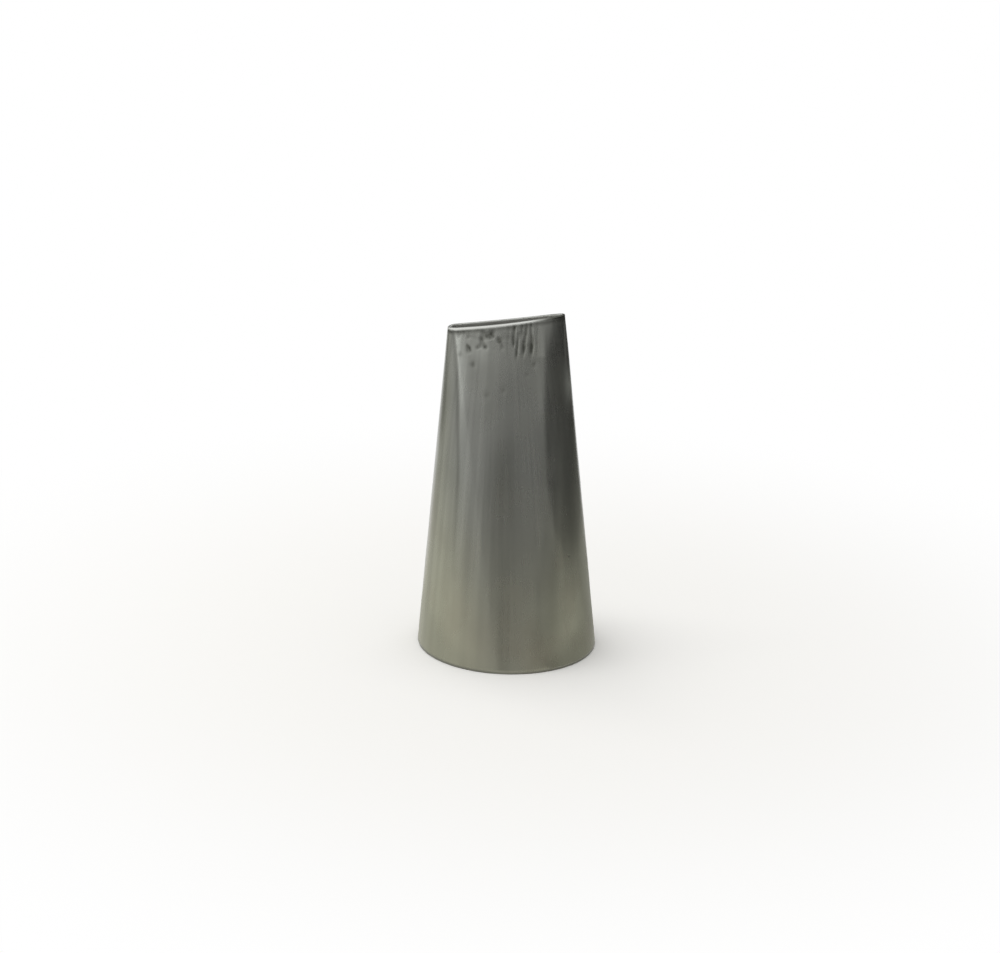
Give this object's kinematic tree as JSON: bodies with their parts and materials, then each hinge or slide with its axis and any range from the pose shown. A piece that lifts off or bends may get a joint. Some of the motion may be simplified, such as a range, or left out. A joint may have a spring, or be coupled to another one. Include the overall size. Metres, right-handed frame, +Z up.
{
  "type": "piping nozzle",
  "caption": "Large petal piping nozzle: a thin steel cone pressed flat to a slanted teardrop slot at the mouth, standing on its round open base.",
  "frame": {"origin": "centre of the round base, on the plane it stands on", "axes": "+Z up from the base to the mouth; +X from the wide, low end of the slot towards its narrow, high end; the picture looks along +Y"},
  "size_m": [0.026, 0.026, 0.0497],
  "materials": {
    "drawn_steel": "satin drawn stainless steel with faint upright draw lines and light scuffs under the mouth"
  },
  "bodies": {
    "root": {"nozzle_body": "drawn_steel"}
  },
  "joints": []
}
